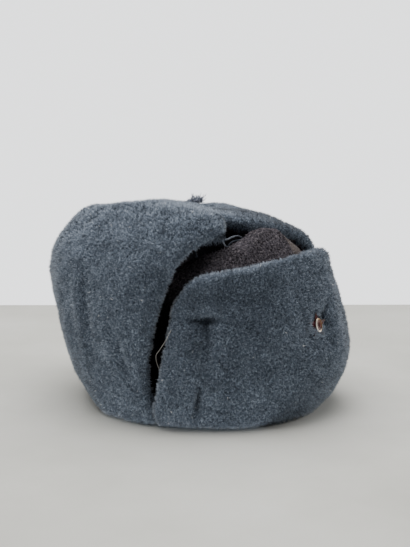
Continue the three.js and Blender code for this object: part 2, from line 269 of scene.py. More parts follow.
def wool_finish(name, paints_light=False):
    """Heathered wool: brown-grey fibres with paler and darker ones among them.

    Where it paints light, the piece's own attributes say where it has a painted highlight and where
    painted shade."""
    finish = Finish(name, roughness=0.95, Specular_IOR_Level=0)
    fibres = finish.noise(WOOL_FIBRE, detail=3, roughness=0.8)
    patches = finish.noise(WOOL_PATCH)
    cloth = finish.ramp(fibres * 0.85 + patches * 0.15, (0.42, WOOL_DARK), (0.58, WOOL_LIGHT))
    specks = finish.noise(WOOL_SPECK, detail=4, roughness=0.85)
    pale = finish.ramp(specks, (0.54, (0, 0, 0)), (0.64, (1, 1, 1)))
    cloth = finish.mixed(pale * FLECK_SHARE, cloth, (*WOOL_FLECK, 1))
    if paints_light:
        # painted highlight: paler tan on the top of the panel on the left of the front
        reached = finish.attribute("bleached") * PAINTED_HIGHLIGHT_SHARE
        cloth = finish.mixed(reached, cloth, (*WOOL_PAINTED_HIGHLIGHT, 1))
        # painted shade: the wool is near-black behind the flaps and in the hollow between the ears
        cloth = finish.mixed(finish.attribute("faded"), (*WOOL_IN_PAINTED_SHADE, 1), cloth)
    finish.feed("Base Color", cloth)
    finish.bump(fibres + finish.noise(WOOL_FUZZ) * 0.6, WOOL_RELIEF)
    return finish


# Sizes without a unit are in millimetres here, and angles in degrees round the hat.
FLAT_ENOUGH = 0.7  # radians between two triangles that are joined to one face
OUTER_BLEND = 10 * MM
PANEL_SEAMS = (-17.5, 72.5, 162.5, 252.5)
SEAM_FROM = 50  # height that a seam shows from
SEAM_WIDTH = 1.5
SEAM_DEPTH = 1.8
ROLL_ASIDE = 4  # the roll of cloth beside a seam, over its turned-in edges
ROLL_WIDTH = 2.5
ROLL_HEIGHT = 1.3
SLACK = 1.1
SLACK_SWELLS = ((30, 0.7, 1), (12, 0.4, 2))  # size, share and seed
TOP_FROM = 90  # height that the crown's top begins at
HOLLOW = (8, 2)  # middle of the deep hollow between the ears, from the rim's middle
HOLLOW_SPREAD = (34, 26)
HOLLOW_DEEPER = 10
SWELLS = [(-44, -47, 14, 5), (48, -58, 13, 5)]  # place, spread and rise
SHADE_TOP = 86  # height up to which the crown wool is painted near-black as shade behind the flaps
SHADE_BLEND = 24
HIGHLIGHT_FROM, HIGHLIGHT_TO = -20, -46  # a painted highlight on the panel on the left of the front
HIGHLIGHT_FROM_BLEND, HIGHLIGHT_TO_BLEND = 3, 12
HIGHLIGHT_UP, HIGHLIGHT_UP_BLEND = 112, 10


def in_hollow(own):
    """How much of the hollow between the ears reaches each place, from 0 to 1."""
    from_middle = ((own[:, :2] - HOLLOW) / HOLLOW_SPREAD) ** 2
    return np.exp(-(from_middle.sum(1) ** 2))


def faded(places):
    """How far the wool at each place is out of its painted shade, from 0 behind the flaps and in the
    hollow to 1.
    """
    own = from_rim(places)
    return ease(own[:, 2] - SHADE_TOP, SHADE_BLEND) * (1 - in_hollow(own))


def bleached(places):
    """How much painted highlight lies on one panel at each place, from 0 to 1."""
    angle = outward_angle(places)
    up = ease(from_rim(places)[:, 2] - HIGHLIGHT_UP, HIGHLIGHT_UP_BLEND)
    begun = ease(HIGHLIGHT_FROM - angle, HIGHLIGHT_FROM_BLEND)
    return begun * ease(angle - HIGHLIGHT_TO, HIGHLIGHT_TO_BLEND) * up


shape = merged_copy("crown")
bmesh.ops.join_triangles(
    shape, faces=shape.faces, angle_face_threshold=FLAT_ENOUGH, angle_shape_threshold=FLAT_ENOUGH
)
crown = shown("wool_crown", shape, wool_finish("heathered wool", paints_light=True))
rounded(crown, levels=2)
places = corners(crown.data)
normals = corner_normals(crown.data)
own = from_rim(places)
outer = ease((normals * (places - HEART)).sum(1), OUTER_BLEND)
raised = uneven(places, SLACK_SWELLS) * SLACK
for angle in np.radians(PANEL_SEAMS):
    aside = own[:, 0] * math.cos(angle) - own[:, 1] * math.sin(angle)
    along = -own[:, 0] * math.sin(angle) - own[:, 1] * math.cos(angle)
    on_seam = (along > 0) * (own[:, 2] > SEAM_FROM)
    raised -= on_seam * SEAM_DEPTH * np.exp(-((aside / SEAM_WIDTH) ** 2))
    raised += on_seam * ROLL_HEIGHT * np.exp(-(((aside - ROLL_ASIDE) / ROLL_WIDTH) ** 2))
on_top = own[:, 2] > TOP_FROM
raised -= in_hollow(own) * on_top * HOLLOW_DEEPER
for x, y, spread, rise in SWELLS:
    from_swell = ((own[:, :2] - (x, y)) / spread) ** 2
    raised += np.exp(-from_swell.sum(1)) * on_top * rise
move_corners(crown.data, places + normals * (outer * raised * MM)[:, None])
# painted shade behind the flaps and in the hollow, and a painted highlight on one panel's top
mark(crown.data, "faded", faded(places))
mark(crown.data, "bleached", bleached(places))
crown.data.shade_smooth()
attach(crown, "root")
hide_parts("crown")


# The nap of the wool: short loose fibres all over the crown's outer side. They are the
# cloth's own fibres, which wear has worked up out of it.
NAP_COUNT = 12000
NAP_LENGTH = 1.9 * MM
NAP_LENGTHS = (0.6, 1.2)  # shares of that length
NAP_RADII = (0.13, 0.22)  # in millimetres
NAP_UPRIGHT = 0.7
NAP_TANGLE = 0.7
NAP_CONTRAST = 1.2
NAP_OUTER = 10 * MM
NAP_LOWEST = 30 * MM
SIDES = 3
SPIKE_TRIANGLES = 4
SPIKE_ROUNDNESS = 0.5  # how round a spike is shaded; the rest of its shading is the cloth's
TINY = 1e-9  # the least length that anything is divided by


def unit(rows):
    """Each vector at a length of 1."""
    return rows / np.maximum(np.linalg.norm(rows, axis=1), TINY)[:, None]


def scattered(mesh, count, where, dice):
    """Random places on a mesh, evenly by area where the mask allows, and the normals there."""
    mesh.calc_loop_triangles()
    indices = np.zeros(len(mesh.loop_triangles) * 3, np.int32)
    mesh.loop_triangles.foreach_get("vertices", indices)
    indices = indices.reshape(-1, 3)
    at = corners(mesh)[indices]
    normals = corner_normals(mesh)[indices]
    area = np.linalg.norm(np.cross(at[:, 1] - at[:, 0], at[:, 2] - at[:, 0]), axis=1)
    chance = area * where(at.mean(1), normals.mean(1))
    face = dice.choice(len(at), count, p=chance / chance.sum())
    share = dice.random((count, 2))
    share = np.where((share.sum(1) > 1)[:, None], 1 - share, share)
    weights = np.stack([1 - share.sum(1), share[:, 0], share[:, 1]], 1)[:, :, None]
    return (at[face] * weights).sum(1), unit((normals[face] * weights).sum(1))


def spikes(name, roots, facing, along, length, radius, tuft, finish):
    """One mesh of many closed three-sided spikes: their roots, the way each points, and sizes."""
    count = len(roots)
    along = unit(along)
    aslant = np.roll(along, 1, axis=1) + [0.3, 0.1, 0.2]
    side = unit(np.cross(along, aslant))
    other = np.cross(along, side)
    points = np.zeros((count, SIDES + 1, 3))
    for i in range(SIDES):
        turn = 2 * math.pi * i / SIDES
        out = side * math.cos(turn) + other * math.sin(turn)
        points[:, i] = roots + out * radius[:, None]
    points[:, SIDES] = roots + along * length[:, None]
    points[:, :, 2] = np.maximum(points[:, :, 2], 0)
    first = np.arange(count)[:, None] * (SIDES + 1)
    sides = [[i, (i + 1) % SIDES, SIDES] for i in range(SIDES)]
    faces = np.concatenate([first + np.array(face) for face in [*sides, [2, 1, 0]]])
    mesh = bpy.data.meshes.new(name)
    mesh.vertices.add(count * (SIDES + 1))
    mesh.vertices.foreach_set("co", points.astype(np.float32).ravel())
    mesh.loops.add(faces.size)
    mesh.loops.foreach_set("vertex_index", faces.astype(np.int32).ravel())
    mesh.polygons.add(len(faces))
    mesh.polygons.foreach_set("loop_start", np.arange(0, faces.size, 3, dtype=np.int32))
    mesh.update(calc_edges=True)
    mark(mesh, "up", np.tile([0.0] * SIDES + [1.0], count))
    mark(mesh, "tuft", np.repeat(tuft, SIDES + 1))
    mesh.shade_smooth()
    hearts = np.repeat(roots - along * radius[:, None], SIDES + 1, axis=0)
    outwards = unit(points.reshape(-1, 3) - hearts)
    mixed = unit(outwards * SPIKE_ROUNDNESS + np.repeat(facing, SIDES + 1, axis=0))
    mesh.normals_split_custom_set_from_vertices(mixed.tolist())
    return shown(name, mesh, finish)


def nap_finish():
    """Single wool fibres, from dark to pale, near-black where they carry the crown's painted shade."""
    finish = Finish("wool nap", roughness=0.9, Specular_IOR_Level=0)
    stops = ((0.0, WOOL_IN_PAINTED_SHADE), (0.25, WOOL_DARK), (0.7, WOOL_LIGHT), (1.0, WOOL_FLECK))
    finish.feed("Base Color", finish.ramp(finish.attribute("tuft"), *stops))
    return finish


def crown_outside(middles, facing):
    """The outer side of the crown above the rim."""
    return ((facing * (middles - HEART)).sum(1) > NAP_OUTER) * (middles[:, 2] > NAP_LOWEST)


dice = np.random.default_rng(5)
roots, facing = scattered(crown.data, NAP_COUNT, crown_outside, dice)
# the nap carries the crown's painted shade: its fibres are near-black behind the flaps and in the hollow
nap = spikes(
    "wool_nap",
    roots,
    facing,
    facing * NAP_UPRIGHT + dice.normal(0, NAP_TANGLE, (NAP_COUNT, 3)),
    NAP_LENGTH * dice.uniform(*NAP_LENGTHS, NAP_COUNT),
    dice.uniform(*NAP_RADII, NAP_COUNT) * MM,
    dice.random(NAP_COUNT) ** NAP_CONTRAST * faded(roots),
    nap_finish(),
)
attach(nap, "root")


# The ear and neck flap: one long padded flap of pile cloth outside and wool cloth inside,
# with wadding between them. It runs round the neck, and its ears fold up over the crown.
PILE_ROOT = (0.015, 0.0205, 0.031)
PILE_MIDDLE = (0.094, 0.122, 0.165)
PILE_TIP = (0.39, 0.45, 0.53)
LINT = (0.72, 0.73, 0.74)
GROUND_STOPS = ((0.38, PILE_ROOT), (0.54, PILE_MIDDLE), (0.72, PILE_TIP))
PILE_STOPS = ((0.08, PILE_ROOT), (0.48, PILE_MIDDLE), (0.9, PILE_TIP), (0.963, LINT))
GROUND_GRAIN = 1.5 * MM
GROUND_RELIEF = 1.6 * MM
SMALL_PATCH, SMALL_PATCH_SHARE = 5 * MM, 0.24
LARGE_PATCH, LARGE_PATCH_SHARE = 24 * MM, 0.12
UP_SHARE = 0.45  # how much of a fibre's shade is its height: painted shade at depth, darker towards the root
TUFT_SHARE = 0.5
HEART_FOLLOWS = (0.3, 0.3, 0)  # how far the heart that a place looks away from moves with it
PILE_FACING = -0.4


def pile_side(places, normals):
    """1 where a flap's surface looks away from the head and carries pile, 0 on its cloth side."""
    away = unit(places - (places * HEART_FOLLOWS + HEART))
    return ((normals * away).sum(1) > PILE_FACING).astype(float)


def ground_finish():
    """The pile cloth between the spikes: dense short fibres, speckled dark and pale."""
    finish = Finish("pile ground", roughness=1.0)
    grain = finish.noise(GROUND_GRAIN, detail=4, roughness=0.8)
    shade = grain + (finish.noise(LARGE_PATCH) - 0.5) * LARGE_PATCH_SHARE
    finish.feed("Base Color", finish.ramp(shade, *GROUND_STOPS))
    finish.bump(grain, GROUND_RELIEF)
    return finish


def pile_finish():
    """Short synthetic pile, uneven from tuft to tuft; painted shade at depth makes it dark at its roots
    and pale at its tips.
    """
    finish = Finish("pile", roughness=0.9, Sheen_Weight=0.15, Sheen_Roughness=0.4)
    large = (finish.noise(LARGE_PATCH) - 0.5) * LARGE_PATCH_SHARE
    small = (finish.noise(SMALL_PATCH) - 0.5) * SMALL_PATCH_SHARE
    # painted shade at depth: each spike is darker towards its root
    own = finish.attribute("up") * UP_SHARE + finish.attribute("tuft") * TUFT_SHARE
    finish.feed("Base Color", finish.ramp(own + large + small, *PILE_STOPS))
    return finish


ground = ground_finish()
pile = pile_finish()
lining = wool_finish("cloth side")

VOXEL = 4 * MM
TUCK_IN = 3.2 * MM  # how far a flap's surface starts inside its own size
SOFTENING = 3
PUFF_PRESSURE = 4
PUFF_STIFFNESS = 0.5
PUFF_FRAMES = 20
PUFF_LIMIT = 2.2 * MM
SEATING = ((0.8, 3), (0.9, 2), (0.9, 1))  # each round's share of the way, and its smoothing
PILE_DEPTH = 1.7 * MM
CLOTH_DEPTH = 1.0 * MM
SEWN_HEIGHT = 6 * MM
SEWN_HOLD = 1.4  # above 1, so that the lowest of it is fully held


def soften(flap, rounds):
    """Adds a modifier that smooths a flap's surface."""
    soft = flap.modifiers.new("soft", "SMOOTH")
    soft.factor = 0.5
    soft.iterations = rounds


def puffed(piece, held):
    """Lets the wadding press a flap's two cloths apart. held is 1 where they are sewn down."""
    start = corners(piece.data)
    sewn = piece.vertex_groups.new(name="sewn")
    for i in np.nonzero(held > 0)[0]:
        sewn.add([int(i)], float(held[i]), "REPLACE")
    cloth = piece.modifiers.new("wadding", "CLOTH")
    cloth.settings.vertex_group_mass = "sewn"
    cloth.settings.use_pressure = True
    cloth.settings.uniform_pressure_force = PUFF_PRESSURE
    cloth.settings.bending_stiffness = PUFF_STIFFNESS
    cloth.settings.effector_weights.gravity = 0
    cloth.point_cache.frame_start = 1
    cloth.point_cache.frame_end = PUFF_FRAMES
    for step in range(1, PUFF_FRAMES + 1):
        bpy.context.scene.frame_set(step)
    puffy = evaluated(piece)
    moved = corners(puffy.to_mesh()) - start
    puffy.to_mesh_clear()
    piece.modifiers.remove(cloth)
    piece.vertex_groups.remove(sewn)
    bpy.context.scene.frame_set(1)
    moved = unit(moved) * np.minimum(PUFF_LIMIT, np.linalg.norm(moved, axis=1))[:, None]
    move_corners(piece.data, start + moved)


def seated(flap, node, share, smoothing):
    """Brings a flap's surface most of the way to its depth in the solid, and smooths it."""
    solid = merged_copy(node)
    tree = BVHTree.FromBMesh(solid)
    solid.free()
    places = corners(flap.data)
    carries_pile = pile_side(places, corner_normals(flap.data))
    move = np.zeros_like(places)
    for i, (place, piled) in enumerate(zip(places, carries_pile)):
        nearest, outwards, _, _ = tree.find_nearest(Vector(place))
        inside = (nearest - Vector(place)).dot(outwards)
        move[i] = outwards * (inside - (PILE_DEPTH if piled else CLOTH_DEPTH))
    move_corners(flap.data, places + move * share)
    soften(flap, smoothing)
    applied(flap)


def padded_flap(name, node, sewn):
    """A flap's body under its pile: the solid's form, remeshed, drawn in and puffed again."""
    flap = shown(name, merged_copy(node), ground, lining)
    remesh = flap.modifiers.new("even mesh", "REMESH")
    remesh.mode = "VOXEL"
    remesh.voxel_size = VOXEL
    drawn_in = flap.modifiers.new("room for pile", "DISPLACE")
    drawn_in.strength = -TUCK_IN
    drawn_in.mid_level = 0
    soften(flap, SOFTENING)
    applied(flap)
    puffed(flap, sewn(corners(flap.data)))
    subdivide(flap, levels=1)
    applied(flap)
    for share, smoothing in SEATING:
        seated(flap, node, share, smoothing)
    return flap


def sewn_foot(places):
    """A flap is held at its foot, where it is sewn to the crown."""
    return np.clip(SEWN_HOLD - places[:, 2] / SEWN_HEIGHT, 0, 1)


# A fold has its angle and height, its size across and up, how far it moves round for each
# millimetre up, and its depth, which is below 0 where the fold stands out.
EAR_FOLDS = [
    (100.5, 80, 6.5, 28, 0.24, -3.0),
    (95.5, 78, 5, 26, 0.24, 2.6),
    (81.5, 54, 5.5, 24, 0.41, -3.2),
    (76.5, 52, 5.5, 22, 0.41, 2.8),
    (64.5, 8, 7, 18, 0, -3.6),
    (70, 100, 9, 16, -0.3, 1.2),
    (112, 66, 7, 26, 0.1, -1.4),
    (128, 62, 8, 26, 0.2, 2.0),
    (-140, 66, 8, 28, -0.2, 2.0),
    (-96, 60, 7, 24, -0.3, 1.8),
    (-118, 70, 6, 26, -0.2, -1.6),
    (165, 58, 7, 24, 0.1, 1.6),
    (-87, 158, 18, 6, 0, 2.4),
]
EAR_TUCKS = [(126, 26, 11, 34), (-126, 26, 11, 34), (-66, 18, 7, 30)]  # angle, width, depth, height
EAR_SWELL = 1.1  # millimetres of the slow unevenness of the wadding
WADDING_SWELLS = ((38, 0.6, 3), (17, 0.4, 4))
FOOT_GAP = 0.3 * MM  # between the cloth at the foot and the table


def turn_from(places, angle):
    """How far round the hat each place is from an angle, from -180 to 180 degrees."""
    return (outward_angle(places) - angle + 180) % 360 - 180


def fold_share(places, fold):
    """How much of a fold reaches each place, from 0 to 1."""
    angle, height, across, up, slant, _ = fold
    own = from_rim(places)
    rise = own[:, 2] - height
    aside = np.radians(turn_from(places, angle)) * np.hypot(own[:, 0], own[:, 1]) - slant * rise
    return np.exp(-((aside / across) ** 2) - (rise / up) ** 2)


def folded(flap, folds, swell):
    """Presses folds and the unevenness of the wadding into a flap's pile side."""
    places = corners(flap.data)
    normals = corner_normals(flap.data)
    depth = uneven(places, WADDING_SWELLS) * swell
    for fold in folds:
        depth += fold[-1] * fold_share(places, fold)
    depth *= pile_side(places, normals)
    places = places - normals * (depth * MM)[:, None]
    places[:, 2] = np.maximum(places[:, 2], FOOT_GAP)
    move_corners(flap.data, places)


def foot_drawn_in(flap, tucks):
    """Draws the pile side's lower edge in under the flap round each tuck's angle."""
    places = corners(flap.data)
    own = from_rim(places)
    away = pile_side(places, corner_normals(flap.data))
    tucked = np.zeros(len(places))
    for angle, wide, deep, high in tucks:
        near = np.exp(-((turn_from(places, angle) / wide) ** 2))
        tucked += deep * near * np.clip(1 - own[:, 2] / high, 0, 1) ** 2
    inwards = -unit(own * [1, 1, 0])
    move_corners(flap.data, places + inwards * (tucked * away * MM)[:, None])


def faced(flap):
    """Gives a flap's cloth side its own material and smooths its shading."""
    flap.data.shade_smooth()
    faces = flap.data.polygons
    bare = 1 - pile_side(vectors(faces, "center"), vectors(faces, "normal"))
    faces.foreach_set("material_index", bare.astype(np.int32))


ear_flap = padded_flap("ear_and_neck_flap_body", "ear_and_neck_flap", sewn_foot)
folded(ear_flap, EAR_FOLDS, EAR_SWELL)
foot_drawn_in(ear_flap, EAR_TUCKS)
faced(ear_flap)
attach(ear_flap, "root")
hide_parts("ear_and_neck_flap")


# The pile of the ear and neck flap: short synthetic fibres in tufts, woven into the cloth
# all over its outer side. It is one piece on each ear and one on the neck.
EAR_PILES = [  # name, from and to in degrees round the hat, triangles and seed
    ("right_ear_pile", 0, 132, 196000, 10),
    ("neck_pile", 132, 226, 140000, 11),
    ("left_ear_pile", 226, 360, 164000, 12),
]
TUFT = 3  # spikes in a tuft
TUFT_SPREAD = 0.38 * MM
ROOT_DEPTH = 0.3 * MM
PILE_LENGTH = 2.7 * MM
TUFT_LENGTHS = (0.75, 1.15)  # shares of that length
SPIKE_LENGTHS = (0.8, 1.15)  # shares of the tuft's length
SPIKE_RADII = (0.2, 0.36)  # in millimetres
LEAN = 0.3
DROOP = (0, 0, -0.12)
COMBED = 13 * MM  # size of the patches in which the pile leans one way
COMBED_SEEDS = (6, 7, 8)
COMBING = 0.3
TUFT_TONE = 0.45  # how much of a spike's tone is its tuft's
NARROW = 3.2  # a fold this narrow in millimetres parts the pile; the pile in it is shorter and painted darker as shade in the crease
NARROW_FOLD_PAINTED_SHADE = 0.6
PARTED_SHORTER = 0.4
INWARDS_FROM = 0.1  # pile that faces the crown is painted darker, as shade
INWARDS_BLEND = 0.6
INWARDS_PAINTED_SHADE = 0.25
LEFT_EAR, LEFT_EAR_SPREAD = -60, 45  # degrees round; the up-facing top of that ear is painted darker, as shade
LEFT_EAR_PAINTED_SHADE = 0.8
LINT_SHARE = 0.0012
LINT_TONE = 2


def standing(places, folds):
    """The share of the pile that still stands up where narrow folds part it."""
    share = np.ones(len(places))
    for fold in folds:
        if min(fold[2], fold[3]) < NARROW and fold[-1] > 0:
            share *= 1 - fold_share(places, fold)
    return share


def grow_pile(name, flap, triangles, where, folds, seed):
    """Covers part of a flap's pile side with leaning tufts of pile, with painted shade in narrow folds, on
    pile that faces the crown and on the left ear's top.
    """
    dice = np.random.default_rng(seed)
    tufts = triangles // SPIKE_TRIANGLES // TUFT
    count = tufts * TUFT
    at, facing = scattered(flap.data, tufts, where, dice)
    lean = dice.normal(0, LEAN, (tufts, 3)) + DROOP
    lean += np.stack([rough(at, COMBED, swirl) for swirl in COMBED_SEEDS], 1) * COMBING
    tall = dice.uniform(*TUFT_LENGTHS, tufts)
    shade = dice.random(tufts)
    spread = dice.normal(0, TUFT_SPREAD, (tufts, TUFT, 3))
    roots = (at[:, None] + spread).reshape(-1, 3)
    facing = np.repeat(facing, TUFT, axis=0)
    roots -= facing * ((spread.reshape(-1, 3) * facing).sum(1) + ROOT_DEPTH)[:, None]
    along = facing + np.repeat(lean, TUFT, axis=0) + dice.normal(0, LEAN, (count, 3))
    length = PILE_LENGTH * np.repeat(tall, TUFT) * dice.uniform(*SPIKE_LENGTHS, count)
    radius = dice.uniform(*SPIKE_RADII, count) * MM
    tone = np.repeat(shade, TUFT) * TUFT_TONE + dice.random(count) * (1 - TUFT_TONE)
    in_narrow_fold = 1 - standing(roots, folds)
    # painted shade in the crease of a narrow fold
    tone -= in_narrow_fold * NARROW_FOLD_PAINTED_SHADE
    # painted shade on pile that faces in towards the crown
    inwards = -(facing * unit(from_rim(roots) * [1, 1, 0])).sum(1)
    tone -= ease(inwards + INWARDS_FROM, INWARDS_BLEND) * INWARDS_PAINTED_SHADE
    # painted shade on the up-facing top of the left ear
    on_left_ear = np.exp(-(((outward_angle(roots) - LEFT_EAR) / LEFT_EAR_SPREAD) ** 2))
    tone -= on_left_ear * np.clip(facing[:, 2], 0, 1) * LEFT_EAR_PAINTED_SHADE
    tone = np.where(dice.random(count) < LINT_SHARE, LINT_TONE, tone)
    length = length * (1 - in_narrow_fold * PARTED_SHORTER)
    return spikes(name, roots, facing, along, length, radius, tone, pile)


for name, start, end, triangles, seed in EAR_PILES:

    def between(middles, facing, start=start, end=end):
        """The pile side of the flap from one angle to the other."""
        angle = outward_angle(middles) % 360
        return pile_side(middles, facing) * (angle >= start) * (angle < end)

    part = grow_pile(name, ear_flap, triangles, between, EAR_FOLDS, seed)
    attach(part, "root")


# The front flap: the same padded pile cloth, standing against the forehead. A thread
# through it holds it to the crown, and the badge sits in a dimple of it.
FRONT_FOLDS = [
    (43.6, 82.5, 12, 2.4, 0, 2.8),
    (41.6, 82, 5, 4, 0, 1.6),
    (42.6, 74, 2.4, 8, 0, 1.8),
    (43.8, 90, 15, 5, 0, -1.6),
    (43.2, 54, 6, 25, 0, 3.4),
    (36, 73, 8, 4, 0, 1.2),
    (48, 108, 20, 10, 0, -3.8),
    (8, 122, 22, 8, 0, 1.8),
    (-24, 122, 14, 8, 0, -1.8),
    (-3, 73, 11, 11, 0, -2.4),
    (46.3, 24, 1.9, 11, -0.15, 6.4),
    (44.6, 25, 3, 13, -0.15, -1.2),
    (48.6, 25, 3.5, 13, -0.15, -1.4),
    (56, 20, 6, 16, 0, -1.6),
    (61.5, 8, 7, 18, 0, -3.6),
    (25.5, 46, 8, 7, 0, 1.8),
    (14, 53, 9, 12, 0.3, 1.6),
    (26, 97, 14, 8, 0, 1.4),
    (-10, 83, 1.7, 7, -0.35, 3.2),
    (-7.3, 76, 2.8, 6, 0, 6.5),
]
FRONT_TUCKS = [(-40, 30, 11, 32), (62, 12, 6, 24)]
FRONT_SWELL = 1.0
FRONT_TRIANGLES = 196000
FRONT_SEED = 20
TACK = (43.8, 82.5)  # degrees round and millimetres up
TACK_REACH = 6
BADGE_TURN = Matrix.Rotation(math.radians(78), 3, "X")
BADGE_ROOM = 11 * MM


def in_frame(points):
    """Points in millimetres from the middle of the rim, as metres in the frame."""
    return (np.array(points, float) + RIM_MIDDLE) * MM


BADGE_MIDDLE = in_frame([6, -115.4, 73])
BARE_MIDDLE = BADGE_MIDDLE + np.array([-1.4, 0, 2.6]) * MM  # the pile is worn off on this side
BARE_REACH = 6.6 * MM


def front_sewn(places):
    """The front flap is held at its foot, at the tack and behind the badge."""
    own = from_rim(places)
    round_it = np.radians(outward_angle(places) - TACK[0]) * np.hypot(own[:, 0], own[:, 1])
    tack = np.hypot(round_it, own[:, 2] - TACK[1]) < TACK_REACH
    badge = np.linalg.norm(places - BADGE_MIDDLE, axis=1) < BADGE_ROOM
    return np.maximum(sewn_foot(places), np.maximum(tack, badge))


def clear_of_badge(middles, facing):
    """The front flap's pile side but for the seat of the badge."""
    return pile_side(middles, facing) * (np.linalg.norm(middles - BARE_MIDDLE, axis=1) > BARE_REACH)


front_flap = padded_flap("front_flap_body", "front_flap", front_sewn)
folded(front_flap, FRONT_FOLDS, FRONT_SWELL)
foot_drawn_in(front_flap, FRONT_TUCKS)
faced(front_flap)
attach(front_flap, "root")
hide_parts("front_flap")

front_pile = grow_pile("front_pile", front_flap, FRONT_TRIANGLES, clear_of_badge, FRONT_FOLDS, FRONT_SEED)
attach(front_pile, "root")


# The badge: a small five-pointed star stamped from brass, its arms filled with dark red
# enamel, with a gilt oval ring in the middle. A post behind it goes through the cloth.
STAR_POINTS = 5
STAR_RADIUS = 9.8 * MM
STAR_WAIST = 0.48  # radius of its inner corners, as a share
STAR_EDGE = 1.2 * MM
STAR_RIM = 0.3 * MM
ARM_RISE = 1.1 * MM
ENAMEL_GAP = 0.12 * MM
ENAMEL_DEPTH = 0.2 * MM
RING_WIDE, RING_HIGH = 2.9 * MM, 4.7 * MM
RING_WIRE = 0.6 * MM
RING_LEVEL = STAR_EDGE + ARM_RISE
RING_STEPS, WIRE_SIDES = 28, 10
DOME_RISE = 1.1 * MM
DOME_DEPTH = 0.5 * MM
DOME_COLUMNS, DOME_ROWS = 20, 10
DENT_WIDE, DENT_HIGH = 1.1 * MM, 1.9 * MM  # the enamel has sunk in the middle of the ring
DENT_SHARE = 0.9
POST_RADIUS = 1.1 * MM
POST_LENGTH = 5.5 * MM
POST_HOLD = 0.2 * MM
POST_SIDES = 12
GLINT_ACROSS, GLINT_UP = 0.8, 0.35  # the ring's painted highlight is brightest low on the wearer's right
WEAR_PATCH = 1.2 * MM
WIDE_WEAR_PATCH = 1.8 * MM
GILT_PATCH = 1.6 * MM
WEAR_RELIEF = 0.12 * MM
DUSTY, POLISHED = (0.5, 0.5, 0.5), (0.25, 0.25, 0.25)  # roughness


def worn(finish, color, dull, size=WEAR_PATCH):
    """A metal or enamel whose colour is dulled in small patches, as by wear and dust."""
    patches = finish.noise(size, detail=4, roughness=0.7)
    finish.feed("Base Color", finish.ramp(patches, (0.42, dull), (0.62, color)))
    finish.feed("Roughness", finish.ramp(patches, (0.4, DUSTY), (0.65, POLISHED)))
    finish.bump(patches, WEAR_RELIEF)
    return finish


def pale_gilt_finish():
    """Gilding with a painted highlight and painted shade, paler where the piece's own attribute says so,
    uneven in small patches.
    """
    finish = Finish("pale gilt", roughness=0.35, Metallic=0.5)
    rubbed = finish.attribute("rubbed") + (finish.noise(GILT_PATCH, detail=3) - 0.5) * 0.5
    stops = ((0.25, (0.2, 0.11, 0.05)), (0.55, (0.62, 0.48, 0.33)), (0.8, (0.95, 0.88, 0.78)))
    finish.feed("Base Color", finish.ramp(rubbed, *stops))
    finish.bump(rubbed, WEAR_RELIEF)
    return finish


def added(parts, before):
    """The parts of a bmesh that it didn't hold before."""
    return [part for part in parts if part not in before]


brass = worn(Finish("gilt brass", roughness=0.4, Metallic=0.6), (0.05, 0.022, 0.013), (0.02, 0.008, 0.006))
red_glass = Finish("red enamel", roughness=0.4, Specular_IOR_Level=0.2)
enamel = worn(red_glass, (0.07, 0.003, 0.008), (0.022, 0.002, 0.005))
brown_glass = Finish("brown enamel", roughness=0.4, Specular_IOR_Level=0.25)
brown_enamel = worn(brown_glass, (0.13, 0.035, 0.022), (0.02, 0.007, 0.006), WIDE_WEAR_PATCH)
pale_gilt = pale_gilt_finish()

star = bmesh.new()
bmesh.ops.create_circle(star, cap_ends=True, radius=STAR_RADIUS, segments=2 * STAR_POINTS)
for corner in star.verts:
    step = round(math.degrees(math.atan2(corner.co.x, corner.co.y)) / (180 / STAR_POINTS))
    if step % 2:
        corner.co *= STAR_WAIST
raised = bmesh.ops.extrude_face_region(star, geom=star.faces[:])
lifted = [part for part in raised["geom"] if isinstance(part, bmesh.types.BMVert)]
bmesh.ops.translate(star, verts=lifted, vec=(0, 0, STAR_EDGE))
front = [part for part in raised["geom"] if isinstance(part, bmesh.types.BMFace)]
bmesh.ops.inset_region(star, faces=front, thickness=STAR_RIM, use_even_offset=True)
bmesh.ops.inset_region(star, faces=front, thickness=ENAMEL_GAP, depth=-ENAMEL_DEPTH, use_even_offset=True)
poked = bmesh.ops.poke(star, faces=front)
for corner in poked["verts"]:
    corner.co.z += ARM_RISE
for face in poked["faces"]:
    face.material_index = 1
post = bmesh.ops.create_cone(
    star, cap_ends=True, segments=POST_SIDES, radius1=POST_RADIUS, radius2=POST_RADIUS, depth=POST_LENGTH
)
bmesh.ops.translate(star, verts=post["verts"], vec=(0, 0, -POST_LENGTH / 2 + POST_HOLD))
bmesh.ops.recalc_face_normals(star, faces=star.faces)

before = {*star.verts, *star.edges, *star.faces}
wire = bmesh.ops.create_circle(star, radius=RING_WIRE, segments=WIRE_SIDES)["verts"]
bmesh.ops.rotate(star, verts=wire, matrix=Matrix.Rotation(math.radians(90), 3, "X"))
bmesh.ops.translate(star, verts=wire, vec=(RING_HIGH, 0, 0))
loop = wire + added(star.edges, before)
bmesh.ops.spin(
    star, geom=loop, cent=(0, 0, 0), axis=(0, 0, 1), angle=2 * math.pi, steps=RING_STEPS, use_merge=True
)
ring = added(star.verts, before)
bmesh.ops.scale(star, verts=ring, vec=(RING_WIDE / RING_HIGH, 1, 1))
bmesh.ops.translate(star, verts=ring, vec=(0, 0, RING_LEVEL))
ring_faces = added(star.faces, before)
bmesh.ops.recalc_face_normals(star, faces=ring_faces)
for face in ring_faces:
    face.material_index = 2
    face.smooth = True
before.update(ring_faces)
dome = bmesh.ops.create_uvsphere(star, u_segments=DOME_COLUMNS, v_segments=DOME_ROWS, radius=1)["verts"]
bmesh.ops.scale(star, verts=dome, vec=(RING_WIDE, RING_HIGH, DOME_RISE))
bmesh.ops.translate(star, verts=dome, vec=(0, 0, RING_LEVEL - DOME_DEPTH))
